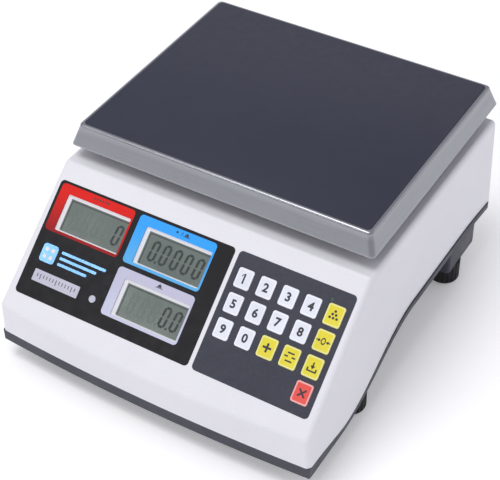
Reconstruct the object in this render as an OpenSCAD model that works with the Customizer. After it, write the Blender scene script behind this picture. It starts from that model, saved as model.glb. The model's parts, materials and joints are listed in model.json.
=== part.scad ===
// Counting scale: steel pan on a single point load cell, moulded casing with a
// sloped display and keypad panel, tray base and four levelling feet.
// Millimetres. X is the scale's width, Y runs from the front to the back, Z is up.
// The origin is on the table, under the middle of the scale's bounding box.

/* [Casing] */
// Width across the top of the casing
body_w = 314; // [306:1:330]
// Extra width on each side at the bottom, from the moulding draft
side_draft = 4.8; // [0:0.1:6]
// Y of the casing's back wall
body_back = 180.6; // [178:0.1:182]
// Height of the flat top above the table
top_z = 158.5; // [152:0.5:162]
// Y of the ridge where the sloped panel meets the flat top
ridge_y = -70.7; // [-74:0.1:-68]
// Slope of the panel
panel_slope = 40; // [38:0.5:42]
// Length of the sloped panel from the ridge to the fold
panel_len = 143.7; // [140:0.1:146]
// How far the front bulges forward at its middle
front_bow = 5.7; // [1:0.1:8]
// Radius of the casing's edges
edge_r = 5; // [4.5:0.5:8]
// Wall thickness of the casing
wall = 3; // [2.5:0.1:3.5]

/* [Base tray] */
// Height of the front wall's lower edge, where the base strip starts
front_strip_top = 33; // [32:0.5:36]
// Height of the base strip's lower edge at the front
front_strip_bottom = 21; // [20:0.5:24]
// Height of the arch's underside
arch_z = 62; // [58:0.5:64]
// Height of the base strip along the sides
side_strip = 6.5; // [4:0.5:8]
// Thickness of the tray's floor
floor_t = 3; // [2.5:0.5:4]

/* [Pan] */
// Width of the pan's flat top
pan_w = 294; // [288:1:298]
// Depth of the pan's flat top
pan_d = 238; // [232:1:239]
// Y of the pan's centre
pan_y = 60.9; // [58:0.1:61]
// Height of the pan's top face above the table
pan_z = 194; // [192:0.5:197]
// Height of the pan's skirt
skirt_h = 21; // [18:0.5:23]
// How far the skirt flares out
skirt_flare = 6.5; // [2:0.5:7]
// Thickness of the pan's sheet
pan_t = 1.2; // [0.8:0.1:1.5]

/* [Displays and keypad] */
// Column pitch of the keys
key_pitch_x = 21.7; // [20:0.1:22]
// Row pitch of the keys
key_pitch_v = 22.9; // [21:0.1:23]
// Width of a digit key
key_w = 14.9; // [12:0.1:15.5]
// Height of a digit key
key_h = 17.6; // [14:0.1:18]
// Extra size of a function key
function_key_extra = 0.8; // [0:0.1:1.5]
// How far a key can be pressed
key_travel = 0.5; // [0.3:0.05:0.5]
// Width of a display's coloured frame
frame_w = 79.5; // [78:0.5:80]
// Height of a display's coloured frame
frame_h = 45; // [44:0.5:45.5]
// Width of a display's visible glass
glass_w = 62.5; // [58:0.5:63]
// Height of a display's visible glass
glass_h = 28.3; // [24:0.1:29]

/* [Feet] */
// Distance of each foot from the centre plane
foot_x = 142.5; // [138:0.5:143]
// Y of the front feet
foot_front_y = -73; // [-74:0.5:-66]
// Y of the back feet
foot_back_y = 123; // [122:0.5:128]
// Radius of a foot
foot_r = 15; // [12:0.5:15.5]
// Height of a foot
foot_h = 24; // [22:0.5:24]

/* [Hidden] */
$fn = 48;
eps = 0.05;
half_w = body_w / 2;
// Panel frame: X across, V up the slope, N out of the panel. V is zero at the top row of keys.
key_row_v = 39.7;
panel_y = ridge_y - key_row_v * cos(panel_slope);
panel_z = top_z - key_row_v * sin(panel_slope);
fold_y = ridge_y - panel_len * cos(panel_slope);
fold_z = top_z - panel_len * sin(panel_slope);
body_front = fold_y - front_bow;
// Radius of the bowed front, from its chord and its rise
bow_r = (half_w * half_w + front_bow * front_bow) / (2 * front_bow);
tray_half_w = half_w + 4.4;
tray_corner_r = 9;
case_gap = 0.2;
// The arch of the sides: it rises between these two Y values and drops again behind the last
arch_start_y = -125;
arch_end_y = 10;
arch_drop_y = 110;
arch_drop = 11;
// Overlays
overlay_pocket = 0.8;
overlay_t = 1;
badge_t = 0.3;
overlay_top_v = 22;
overlay_bottom_v = -87.3;
display_x = [-151, 34];
keypad_x = [38, 151];
first_key_x = 51.3;
board_n = -12;
board_t = 1.6;
board_span_x = [-147, 152];
board_span_v = [-83, 27];
// Posts behind the panel that hold the display board: X and V
board_posts = [[-142, 22], [-142, -70], [-66, -60], [26, 22], [26, -78], [147, 22], [147, -78]];
board_post_r = 3.5;
board_post_bore_r = 1.1;
led_pos = [131.4, 12.1];
led_r = 1.5;
led_hole_r = 1.6;
// Keys: name, column, row and 1 for a function key
keys = [
    ["1", 0, 0, 0], ["2", 1, 0, 0], ["3", 2, 0, 0], ["4", 3, 0, 0], ["sample", 4, 0, 1],
    ["5", 0, 1, 0], ["6", 1, 1, 0], ["7", 2, 1, 0], ["8", 3, 1, 0], ["zero", 4, 1, 1],
    ["9", 0, 2, 0], ["0", 1, 2, 0], ["add", 2, 2, 1], ["add_clear", 3, 2, 1], ["tare", 4, 2, 1],
    ["clear", 4, 3, 1]
];
key_corner_r = 2;
key_gap = 0.3;
key_top = 0.9;
key_stem = 8;
key_stem_hole = 9.4;
key_stem_end = -6.2;
// Displays: centres of the coloured frames, and of the glass from there
frame_centres = [[-108.2, -2.8], [-22.9, -3.2], [-22.7, -52.5]];
glass_shift = [5.6, -4];
frame_corner_r = 3.5;
bezel_w = 70;
bezel_h = 36;
bezel_shift = [3.9, -2.9];
lcd_t = 2.8;
// Load cell, under the middle of the pan
floor_top = arch_z + floor_t;
plate_t = 4;
spacer_h = 15;
cell_l = 150;
cell_w = 40;
cell_h = 30;
cell_z = floor_top + plate_t + spacer_h;
cell_top = cell_z + cell_h;
cell_bolt_x = [52, 68];
cell_bolt_r = 3;
bolt_gap = 0.3;
arm_bolt_grip = 20;
arm_bolt_depth = 15;
stop_r = 3;
hub_x = 60;
hub_size = 34;
support_z = 176;
support_h = 8;
support_reach = [118, 92];
post_r = 28;
cushion_r = 8;
cushion_stem_r = 3;
film_t = 0.4;
film_inset = 2;
sheet_top = pan_z - film_t;
sheet_under = sheet_top - pan_t;
// Feet
boss_z = 25;
stud_r = 4;
insert_r = 6;
insert_h = 14;
insert_clearance = 0.05;
stud_top = 56;
flange_z = 8;
flange_h = 3;
flange_r = 7;
foot_positions = [
    [-foot_x, foot_front_y], [foot_x, foot_front_y], [-foot_x, foot_back_y], [foot_x, foot_back_y]
];
// Pillars that hold the cover to the tray: X, Y and the height of their lower end
pillar_r = 4.5;
pillar_bore_r = 1.4;
pillars = [
    [-146, 165, 70], [146, 165, 70], [-140, -168, 32], [140, -168, 32], [0, -170, 32], [0, 168, 70]
];
screw_seat_h = 2.4;
// Battery, with its door under it
battery_size = [100, 47, 70];
battery_pos = [-60, 131];
battery_corner_r = 2;
door_size = [112, 58];
door_t = 2.5;
door_rim = 6;
door_screw_x = door_size[0] / 2 - 3.2;
door_screw_r = 1.2;
main_board_pos = [-116, 58];
main_board_size = [60, 92];
transformer_pos = [104, 118];
// Back wall fittings
inlet_x = 100;
switch_x = 60;
fitting_z = 92;
inlet_body = [27, 19.6];
switch_body = [13, 19];
fitting_gap = 0.2;
rocker_r = 9;
rocker_tilt = 10;
rocker_y = body_back - 3;
level_pos = [-100, 150];
level_hole_r = 11;

// ---------- shapes shared by several sub-parts ----------

// A rectangle with round corners, centred
module round_rect(size, r) {
    square([size[0] - 2 * r, size[1]], center = true);
    square([size[0], size[1] - 2 * r], center = true);
    for (sx = [-1, 1], sy = [-1, 1])
        translate([sx * (size[0] / 2 - r), sy * (size[1] / 2 - r)]) circle(r);
}

// A plate with round corners, from z = 0 up
module plate(size, t, r) {
    linear_extrude(t) round_rect(size, r);
}

// Puts children on the sloped panel
module on_panel(pos = [0, 0], n = 0) {
    translate([0, panel_y, panel_z]) rotate([panel_slope, 0, 0]) translate([pos[0], pos[1], n]) children();
}

function overlay_centre(span) = [(span[0] + span[1]) / 2, (overlay_top_v + overlay_bottom_v) / 2];
function overlay_size(span) = [span[1] - span[0], overlay_top_v - overlay_bottom_v];
function key_centre(k) = [first_key_x + k[1] * key_pitch_x, -k[2] * key_pitch_v];
function key_size(k) = [key_w + k[3] * function_key_extra, key_h + k[3] * function_key_extra];

// An overlay's outline, from a height above the panel up
module overlay_blank(span, n, t) {
    corner_r = 4;
    on_panel(overlay_centre(span), n) plate(overlay_size(span), t, corner_r);
}

// Plan of the tray, with its bowed front
module tray_plan(inset) {
    intersection() {
        translate([0, (body_back + body_front) / 2])
            round_rect(
                [2 * (tray_half_w - inset), body_back - body_front - 2 * inset],
                tray_corner_r - inset / 2
            );
        translate([0, body_front + bow_r]) circle(bow_r - inset, $fn = 360);
    }
}

function smooth(t) = (1 - cos(180 * min(1, max(0, t)))) / 2;
function arch_share(y) = smooth((y - arch_start_y) / (arch_end_y - arch_start_y));
function drop_at(y) = arch_drop * smooth((y - arch_drop_y) / (2 * (body_back - arch_drop_y)));
function floor_under(y) = front_strip_bottom + (arch_z - front_strip_bottom) * arch_share(y);
function strip_bottom(y) = floor_under(y) - drop_at(y);
function strip_height(y) =
    front_strip_top - front_strip_bottom
    + (side_strip - front_strip_top + front_strip_bottom) * smooth((y + 178) / 70);
function strip_top(y) = strip_bottom(y) + strip_height(y);

arch_ys = concat(
    [body_front - 5],
    [for (y = [-178 : 6 : arch_end_y]) y],
    [for (y = [arch_end_y + 10 : 10 : body_back]) y],
    [body_back + 5]
);

// A slab between two side view curves, right across the scale
module side_band(lower, upper) {
    rotate([90, 0, 90]) linear_extrude(2 * tray_half_w + 40, center = true)
        polygon(concat(lower, [for (i = [len(upper) - 1 : -1 : 0]) upper[i]]));
}

// ---------- casing ----------

// The casing's solid shape, pulled in by a distance on every face
module casing_solid(inset, facets) {
    r = edge_r - inset;
    ridge_in = edge_r * tan(panel_slope / 2);
    fold_in = edge_r * tan(45 - panel_slope / 2);
    fold_steps = 6;
    low_w = half_w + side_draft;
    fold_half_w = half_w + side_draft * (top_z - fold_z) / (top_z - front_strip_bottom);
    hull() {
        for (side = [-1, 1]) {
            translate([side * (half_w - edge_r), body_back - edge_r, top_z - edge_r]) sphere(r, $fn = facets);
            translate([side * (half_w - edge_r), ridge_y + ridge_in, top_z - edge_r]) sphere(r, $fn = facets);
            translate([side * (low_w - edge_r), body_back - edge_r, front_strip_bottom])
                cylinder(r = r, h = 1, $fn = facets);
        }
        for (i = [-fold_steps : fold_steps]) {
            x = i / fold_steps * (fold_half_w - edge_r);
            rise = front_bow * (1 - x * x / (half_w * half_w));
            fold_drop = rise * tan(panel_slope);
            translate([x, fold_y - rise + edge_r, fold_z - fold_drop - fold_in]) sphere(r, $fn = facets);
        }
        for (i = [-fold_steps : fold_steps]) {
            x = i / fold_steps * (low_w - edge_r);
            rise = front_bow * (1 - x * x / (low_w * low_w));
            translate([x, fold_y - rise + edge_r, front_strip_bottom]) cylinder(r = r, h = 1, $fn = facets);
        }
    }
}

// Space below the cover's lower edge, cut away from it
module below_cover() {
    lowest = front_strip_bottom - 20;
    side_band([for (y = arch_ys) [y, lowest]], [for (y = arch_ys) [y, strip_top(y) + case_gap]]);
}

module cover_pillar(p) {
    bore_h = 14;
    translate(p) difference() {
        cylinder(r = pillar_r, h = top_z - p[2]);
        translate([0, 0, -1]) cylinder(r = pillar_bore_r, h = bore_h + 1);
    }
}

module board_post(x, v) {
    bore_h = 6;
    on_panel([x, v], board_n) difference() {
        cylinder(r = board_post_r, h = -board_n - wall + eps);
        translate([0, 0, -1]) cylinder(r = board_post_bore_r, h = bore_h + 1);
    }
}

// The windows for the displays, the keys and the status light
module panel_windows() {
    window_h = 10;
    for (c = frame_centres) on_panel(c + bezel_shift, -wall - 5) plate([bezel_w, bezel_h], window_h, 2);
    for (k = keys) on_panel(key_centre(k), -wall - 5) plate([key_stem_hole, key_stem_hole], window_h, 1);
    on_panel(led_pos, -wall - 5) cylinder(r = led_hole_r, h = window_h);
}

// The hole in the back wall for a fitting's body
module fitting_hole(x, body) {
    translate([x, body_back, fitting_z])
        cube([body[0] + 2 * fitting_gap, 20, body[1] + 2 * fitting_gap], center = true);
}

module top_cover() {
    collar_t = 3;
    collar_h = 4;
    cut = 20;
    color("gainsboro") {
        difference() {
            casing_solid(0, 32);
            casing_solid(wall, 16);
            below_cover();
            overlay_blank(display_x, -overlay_pocket, 5);
            overlay_blank(keypad_x, -overlay_pocket, 5);
            panel_windows();
            translate([hub_x, pan_y, top_z - cut / 2]) cylinder(r = post_r, h = cut);
            translate([level_pos[0], level_pos[1], top_z - cut / 2]) cylinder(r = level_hole_r, h = cut);
            fitting_hole(inlet_x, inlet_body);
            fitting_hole(switch_x, switch_body);
        }
        translate([hub_x, pan_y, top_z - wall / 2]) difference() {
            cylinder(r = post_r + collar_t, h = wall / 2 + collar_h);
            translate([0, 0, -1]) cylinder(r = post_r, h = cut);
        }
        intersection() {
            casing_solid(wall / 2, 16);
            for (p = pillars) cover_pillar(p);
        }
        for (p = board_posts) board_post(p[0], p[1]);
    }
}

// ---------- base tray ----------

module foot_boss(p) {
    front = p[1] < 0;
    back_reach = front ? 13 : 36;
    front_reach = 23;
    boss_w = 34.5;
    boss_shift = 3.5;
    top = front ? floor_under(p[1] + back_reach) + 2 : floor_top;
    translate([p[0] - sign(p[0]) * boss_shift, p[1] + (back_reach - front_reach) / 2, boss_z])
        plate([boss_w, back_reach + front_reach], top - boss_z, 4);
}

module foot_boss_bore(p) {
    stud_gap = 0.5;
    bore_h = 34;
    translate([p[0], p[1], boss_z - 1]) cylinder(r = insert_r, h = insert_h + 1);
    translate([p[0], p[1], boss_z]) cylinder(r = stud_r + stud_gap, h = bore_h);
}

// Holes for a case screw in the tray: its shank and its sunk head
module case_screw_hole(p) {
    translate([p[0], p[1], floor_under(p[1]) - 10]) {
        cylinder(r = pillar_bore_r + 0.5, h = 40);
        cylinder(r = 3.8, h = 10 + screw_seat_h);
    }
}

module base_tray() {
    lip_h = 7;
    lip_inset = 4.9;
    lip_t = 2.2;
    floor_inset = 5.2;
    strip_t = 5.7;
    floor_lower = [for (y = arch_ys) [y, floor_under(y)]];
    floor_upper = [for (y = arch_ys) [y, floor_under(y) + floor_t]];
    strip_lower = [for (y = arch_ys) [y, strip_bottom(y)]];
    strip_upper = [for (y = arch_ys) [y, strip_top(y)]];
    lip_lower = [for (y = arch_ys) [y, strip_bottom(y) + 2]];
    lip_upper = [for (y = arch_ys) [y, max(strip_top(y), floor_under(y) + floor_t) + lip_h]];
    color("dimgray") difference() {
        union() {
            intersection() {
                side_band(floor_lower, floor_upper);
                linear_extrude(top_z) tray_plan(floor_inset);
            }
            intersection() {
                side_band(strip_lower, strip_upper);
                linear_extrude(top_z) difference() {
                    tray_plan(0);
                    tray_plan(strip_t);
                }
            }
            intersection() {
                side_band(lip_lower, lip_upper);
                linear_extrude(top_z) difference() {
                    tray_plan(lip_inset);
                    tray_plan(lip_inset + lip_t);
                }
            }
            for (p = foot_positions) foot_boss(p);
            for (p = pillars) {
                under = floor_under(p[1]);
                translate([p[0], p[1], under]) cylinder(r = pillar_r + 1, h = p[2] - under - case_gap);
            }
        }
        for (p = foot_positions) foot_boss_bore(p);
        for (p = pillars) case_screw_hole(p);
        translate([battery_pos[0], battery_pos[1], arch_z - 1])
            plate(door_size - [2 * door_rim, 2 * door_rim], 10, 3);
        for (s = [-1, 1])
            translate([battery_pos[0] + s * door_screw_x, battery_pos[1], arch_z - 1])
                cylinder(r = door_screw_r, h = 10);
    }
}

// ---------- pan ----------

// The pan's outer or inner form: flat top, rolled edge and flared skirt
module pan_form(inset, low) {
    bend = 2.4;
    corner = 5;
    top = sheet_top - inset;
    // Height, and growth of the outline there over the flat top
    rings = [
        [top - 0.01, -2 * bend],
        [top - 0.3 * bend, -0.6 * bend - 2 * inset],
        [top - bend, 1 - 2 * inset],
        [low, 2 * (skirt_flare - inset)]
    ];
    hull() for (ring = rings)
        translate([0, pan_y, ring[0]]) plate([pan_w + ring[1], pan_d + ring[1]], 0.01, corner, $fn = 32);
}

module pan() {
    skirt_low = pan_z - skirt_h;
    color("silver") difference() {
        pan_form(0, skirt_low);
        pan_form(pan_t, skirt_low - 0.1);
    }
}

module pan_film() {
    color("darkslategray") translate([0, pan_y, sheet_top])
        plate([pan_w - 2 * (film_inset + 1), pan_d - 2 * (film_inset + 1)], film_t, 4);
}

// ---------- load cell and carrier ----------

module pan_support() {
    arm_w = 16;
    rib_h = 14;
    rib_w = 6;
    corner_r = 12;
    counterbore_r = 5.6;
    middle = [190, 60];
    reach = norm(support_reach);
    angle = atan2(support_reach[1], support_reach[0]);
    color("lightgray") difference() {
        translate([0, pan_y, 0]) union() {
            for (a = [angle, -angle]) rotate([0, 0, a]) {
                translate([-reach, -arm_w / 2, support_z]) cube([2 * reach, arm_w, support_h]);
                translate([-reach + corner_r, -rib_w / 2, support_z + support_h - rib_h])
                    cube([2 * (reach - corner_r), rib_w, rib_h]);
            }
            for (sx = [-1, 1], sy = [-1, 1])
                translate([sx * support_reach[0], sy * support_reach[1], support_z])
                    cylinder(r = corner_r, h = support_h);
            translate([0, 0, support_z]) plate(middle, support_h, 10);
            translate([hub_x, 0, cell_top + spacer_h])
                plate([hub_size, hub_size], support_z - cell_top - spacer_h + 1, 4);
        }
        for (sx = [-1, 1], sy = [-1, 1])
            translate([sx * support_reach[0], pan_y + sy * support_reach[1], support_z - 1])
                cylinder(r = cushion_stem_r, h = support_h + 2);
        for (x = cell_bolt_x) translate([x, pan_y, cell_top]) {
            cylinder(r = cell_bolt_r + bolt_gap, h = support_z);
            translate([0, 0, spacer_h + arm_bolt_grip]) cylinder(r = counterbore_r, h = support_z);
        }
    }
}

module pan_cushions() {
    seat_gap = 0.1;
    color("black") for (sx = [-1, 1], sy = [-1, 1])
        translate([sx * support_reach[0], pan_y + sy * support_reach[1], support_z]) {
            cylinder(r = cushion_stem_r, h = support_h);
            translate([0, 0, support_h])
                cylinder(r = cushion_r, h = sheet_under - support_z - support_h - seat_gap);
        }
}

module load_cell() {
    web_r = 9;
    web_x = 20;
    slot_h = 8;
    color("silver") translate([0, pan_y, cell_z]) difference() {
        translate([-cell_l / 2, -cell_w / 2, 0]) cube([cell_l, cell_w, cell_h]);
        for (s = [-1, 1]) translate([s * web_x, 0, cell_h / 2]) rotate([90, 0, 0])
            cylinder(r = web_r, h = cell_w + 2, center = true);
        translate([0, 0, cell_h / 2]) cube([2 * web_x, cell_w + 2, slot_h], center = true);
        for (x = cell_bolt_x, s = [-1, 1]) translate([s * x, 0, -1])
            cylinder(r = cell_bolt_r + (s < 0 ? bolt_gap : 0), h = cell_h + 2);
    }
}

// A spacer block with its two bolt holes, under or over the beam's end
module spacer_block(side, z) {
    translate([side * hub_x, pan_y, z]) difference() {
        plate([hub_size, cell_w], spacer_h, 2);
        for (x = cell_bolt_x)
            translate([side * (x - hub_x), 0, -1]) cylinder(r = cell_bolt_r + bolt_gap, h = spacer_h + 2);
    }
}

module lower_spacer() {
    color("gray") spacer_block(-1, floor_top + plate_t);
}

module upper_spacer() {
    color("gray") spacer_block(1, cell_top);
}

module base_plate() {
    plate_size = [165, 60];
    color("slategray") translate([0, pan_y, floor_top]) difference() {
        plate(plate_size, plate_t, 5);
        for (x = cell_bolt_x) translate([-x, 0, -1]) cylinder(r = cell_bolt_r, h = plate_t + 2);
        translate([hub_x, 0, -1]) cylinder(r = stop_r, h = plate_t + 2);
    }
}

// A socket head cap screw, head up, its head's seat at z = 0
module cap_screw(r, length) {
    head_h = 2 * r;
    translate([0, 0, -length]) cylinder(r = r, h = length);
    difference() {
        cylinder(r = 1.6 * r, h = head_h);
        translate([0, 0, head_h / 2]) cylinder(r = 0.9 * r, h = head_h, $fn = 6);
    }
}

module load_cell_bolts() {
    color("dimgray") for (x = cell_bolt_x) {
        translate([-x, pan_y, cell_top]) cap_screw(cell_bolt_r, cell_h + spacer_h + plate_t);
        translate([x, pan_y, cell_top + spacer_h + arm_bolt_grip])
            cap_screw(cell_bolt_r, spacer_h + arm_bolt_grip + arm_bolt_depth);
    }
}

module overload_stop() {
    stop_gap = 0.5;
    screw_len = cell_z - stop_gap - floor_top;
    nut_r = 5.5;
    nut_h = 5;
    color("goldenrod") translate([hub_x, pan_y, floor_top]) {
        cylinder(r = stop_r, h = screw_len);
        translate([0, 0, plate_t]) difference() {
            cylinder(r = nut_r, h = nut_h, $fn = 6);
            translate([0, 0, -1]) cylinder(r = stop_r - eps, h = nut_h + 2);
        }
    }
}

// ---------- display side of the panel ----------

module display_overlay() {
    color("black") difference() {
        overlay_blank(display_x, -overlay_pocket, overlay_t);
        for (c = frame_centres) on_panel(c, -5) plate([frame_w, frame_h], 10, frame_corner_r);
    }
}

// The coloured frame round a display, a little proud of the overlay
module display_frame(i) {
    c = frame_centres[i];
    proud = 0.2;
    difference() {
        on_panel(c, -overlay_pocket) plate([frame_w, frame_h], overlay_t + proud, frame_corner_r);
        on_panel(c + bezel_shift, -5) plate([bezel_w - 2, bezel_h - 2], 10, 1);
    }
}

module red_frame() {
    color("red") display_frame(0);
}

module blue_frame() {
    color("deepskyblue") display_frame(1);
}

module grey_frame() {
    color("lavender") display_frame(2);
}

// White inner frames with sloped walls down to the glass
module lcd_bezels() {
    depth = wall - overlay_pocket;
    color("white") for (c = frame_centres) difference() {
        on_panel(c + bezel_shift, -wall) plate([bezel_w, bezel_h], depth, 2);
        on_panel(c, -wall) hull() {
            translate([bezel_shift[0], bezel_shift[1], depth + 0.01])
                plate([bezel_w - 2, bezel_h - 2], 1, 1, $fn = 16);
            translate([glass_shift[0], glass_shift[1], -1]) plate([glass_w, glass_h], 1.01, 0.5, $fn = 16);
        }
    }
}

module lcd_panels() {
    color("darkseagreen") for (c = frame_centres)
        on_panel(c + bezel_shift, -wall - lcd_t) plate([bezel_w - 2, bezel_h - 2], lcd_t, 1);
}

module lcd_holders() {
    color("dimgray") for (c = frame_centres)
        on_panel(c + bezel_shift, board_n) plate([bezel_w, bezel_h], -board_n - wall - lcd_t, 2);
}

// ---------- keypad ----------

module keypad_overlay() {
    color("slategray") difference() {
        overlay_blank(keypad_x, -overlay_pocket, overlay_t);
        for (k = keys)
            on_panel(key_centre(k), -5)
                plate(key_size(k) + [2 * key_gap, 2 * key_gap], 10, key_corner_r + key_gap);
        on_panel(led_pos, -5) cylinder(r = led_hole_r, h = 10);
    }
}

// One key: its cap in the overlay's window and the stem behind it
module key(name, colour) {
    k = keys[search([name], keys)[0]];
    cap_bottom = -overlay_pocket + key_travel + 0.1;
    color(colour) {
        on_panel(key_centre(k), cap_bottom) plate(key_size(k), key_top - cap_bottom, key_corner_r);
        on_panel(key_centre(k), key_stem_end)
            plate([key_stem, key_stem], cap_bottom - key_stem_end + eps, 0.8);
    }
}

module status_led() {
    led_h = 5.4;
    color("lime") on_panel(led_pos, -5) cylinder(r = led_r, h = led_h);
}

// ---------- badges on the display overlay ----------

// A plain square and three bars
module name_badge() {
    square_pos = [-133, -44.9];
    first_bar = [-97, -39.5];
    bar_step = [-4, -5.5];
    bar_w = 48;
    bar_shrink = 8;
    bar_h = 2.6;
    color("steelblue") {
        on_panel(square_pos, overlay_t - overlay_pocket) plate([16, 17], badge_t, 3);
        for (i = [0 : 2])
            on_panel(first_bar + i * bar_step, overlay_t - overlay_pocket)
                plate([bar_w - i * bar_shrink, bar_h], badge_t, 1.2);
    }
}

// A blank rating strip and a round seal
module rating_strip() {
    strip_pos = [-114.7, -66.7];
    strip_size = [49.5, 11];
    seal_pos = [-74.7, -66.7];
    seal_r = 3.3;
    color("silver") {
        on_panel(strip_pos, overlay_t - overlay_pocket) plate(strip_size, badge_t, 0.8);
        on_panel(seal_pos, overlay_t - overlay_pocket) cylinder(r = seal_r, h = badge_t);
    }
}

// ---------- electronics ----------

module display_board() {
    size = [board_span_x[1] - board_span_x[0], board_span_v[1] - board_span_v[0]];
    centre = [(board_span_x[0] + board_span_x[1]) / 2, (board_span_v[0] + board_span_v[1]) / 2];
    hole_r = 1.7;
    color("darkgreen") difference() {
        on_panel(centre, board_n - board_t) plate(size, board_t, 2);
        for (p = board_posts) on_panel(p, board_n - 5) cylinder(r = hole_r, h = 10);
    }
}

module key_switches() {
    body = 6;
    body_h = 3.6;
    plunger_r = 1.7;
    plunger_h = 1.4;
    color("darkslategray") for (k = keys) on_panel(key_centre(k), board_n) {
        plate([body, body], body_h, 0.5);
        translate([0, 0, body_h]) cylinder(r = plunger_r, h = plunger_h);
    }
}

// The main board on its four posts, with a capacitor, a converter chip and three connectors
module main_board() {
    board_z = 8;
    post_inset = 5;
    post_r = 3;
    capacitor = [8, 22];
    chip = [18, 2.4];
    connector = [8, 18, 9];
    size = main_board_size;
    color("seagreen") translate([main_board_pos[0], main_board_pos[1], floor_top]) {
        for (sx = [-1, 1], sy = [-1, 1])
            translate([sx * (size[0] / 2 - post_inset), sy * (size[1] / 2 - post_inset), 0])
                cylinder(r = post_r, h = board_z);
        translate([0, 0, board_z]) plate(size, board_t, 2);
        translate([-12, -26, board_z + board_t]) cylinder(r = capacitor[0], h = capacitor[1]);
        translate([6, 0, board_z + board_t]) plate([chip[0], chip[0]], chip[1], 0.5);
        for (y = [-34, 14, 36])
            translate([22, y, board_z + board_t]) plate([connector[0], connector[1]], connector[2], 0.5);
    }
}

module battery() {
    terminal = [4.8, 6, 6.3];
    terminal_reach = 38;
    color("darkgray") translate([battery_pos[0], battery_pos[1], floor_top]) {
        plate([battery_size[0], battery_size[1]], battery_size[2], battery_corner_r);
        for (s = [-1, 1])
            translate([s * terminal_reach, 0, battery_size[2]])
                plate([terminal[1], terminal[0]], terminal[2], 0.4);
    }
}

// A steel strap over the battery, with a screw hole in each foot
module battery_strap() {
    strap_w = 16;
    strap_t = 1;
    gap = 0.2;
    half = battery_size[1] / 2 + gap;
    high = battery_size[2] + gap;
    foot_l = 9;
    hole_reach = 5.2;
    hole_r = 1.7;
    color("silver") translate([battery_pos[0], battery_pos[1], floor_top]) difference() {
        union() {
            translate([0, 0, high + strap_t / 2])
                cube([strap_w, 2 * (half + strap_t), strap_t], center = true);
            for (s = [-1, 1]) {
                translate([0, s * (half + strap_t / 2), (high + strap_t) / 2])
                    cube([strap_w, strap_t, high + strap_t], center = true);
                translate([0, s * (half + foot_l / 2), strap_t / 2])
                    cube([strap_w, foot_l, strap_t], center = true);
            }
        }
        for (s = [-1, 1]) translate([0, s * (half + hole_reach), -1]) cylinder(r = hole_r, h = strap_t + 2);
    }
}

module battery_door() {
    plug_gap = 0.5;
    screw_gap = 0.6;
    color("dimgray") translate([battery_pos[0], battery_pos[1], arch_z - door_t]) difference() {
        union() {
            plate(door_size, door_t, 4);
            translate([0, 0, door_t - eps])
                plate(door_size - 2 * [door_rim + plug_gap, door_rim + plug_gap], floor_t - 0.1 + eps, 3);
        }
        for (s = [-1, 1]) translate([s * door_screw_x, 0, -1]) cylinder(r = door_screw_r + screw_gap, h = 10);
    }
}

// A laminated core with a wound bobbin in its window, and two mounting tabs
module transformer() {
    core = [54, 24, 46];
    window = [34, 28];
    window_z = 9;
    coil_l = 40;
    fit = 0.1;
    tab_reach = 32;
    tab = [10, 16, 2];
    tab_hole_r = 1.9;
    color("peru") translate([transformer_pos[0], transformer_pos[1], floor_top]) {
        difference() {
            translate([-core[0] / 2, -core[1] / 2, 0]) cube(core);
            translate([-window[0] / 2, -core[1], window_z]) cube([window[0], 2 * core[1], window[1]]);
        }
        translate([-window[0] / 2 - fit, -coil_l / 2, window_z - fit])
            cube([window[0] + 2 * fit, coil_l, window[1] + 2 * fit]);
        for (s = [-1, 1]) translate([s * (tab_reach - eps), 0, 0]) difference() {
            translate([-tab[0] / 2, -tab[1] / 2, 0]) cube(tab);
            translate([0, 0, -1]) cylinder(r = tab_hole_r, h = tab[2] + 2);
        }
    }
}

// ---------- back wall and level ----------

module power_inlet() {
    flange = [32, 25];
    flange_t = 2.4;
    body_depth = 22;
    socket = [24, 16.5];
    socket_depth = 14;
    pin = [2, 4, 8];
    color("black") translate([inlet_x, body_back, fitting_z]) rotate([-90, 0, 0]) {
        difference() {
            union() {
                plate(flange, flange_t, 3);
                translate([0, 0, -body_depth]) plate(inlet_body, body_depth + eps, 2);
            }
            translate([0, 0, -socket_depth]) plate(socket, socket_depth + 5, 2.5);
        }
        for (x = [-7, 0, 7])
            translate([x - pin[0] / 2, x == 0 ? -6 : 0, -socket_depth - eps]) cube(pin);
    }
}

module switch_frame() {
    flange = [17, 23];
    flange_t = 2;
    body_depth = 16;
    well_depth = 14;
    well = [10.6, 2 * rocker_r + 0.6];
    color("black") translate([switch_x, body_back, fitting_z]) rotate([-90, 0, 0]) difference() {
        union() {
            plate(flange, flange_t, 2);
            translate([0, 0, -body_depth]) plate(switch_body, body_depth + eps, 1);
        }
        translate([-well[0] / 2, -well[1] / 2, -well_depth]) cube([well[0], well[1], well_depth + 5]);
    }
}

// The rocker pivots about X. Its outer face is a shallow V, with the lower half out at rest.
module power_rocker() {
    rocker_w = 10;
    face_reach = 5;
    back_reach = 6;
    big = 20;
    color("black") translate([switch_x, rocker_y, fitting_z]) rotate([-rocker_tilt, 0, 0]) difference() {
        rotate([0, 90, 0]) cylinder(r = rocker_r, h = rocker_w, center = true);
        for (s = [-1, 1]) rotate([-s * rocker_tilt, 0, 0])
            translate([-rocker_w, face_reach, s > 0 ? 0 : -big]) cube([2 * rocker_w, big, big]);
        translate([-rocker_w, -back_reach - big, -big / 2]) cube([2 * rocker_w, big, big]);
    }
}

module bubble_level() {
    cup_gap = 0.2;
    cup_h = 9;
    flange_reach = 2;
    lens_h = 1.5;
    color("yellowgreen") translate([level_pos[0], level_pos[1], top_z - cup_h]) {
        cylinder(r = level_hole_r - cup_gap, h = cup_h);
        translate([0, 0, cup_h]) cylinder(r = level_hole_r + flange_reach, h = lens_h);
    }
}

// ---------- screws ----------

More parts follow.
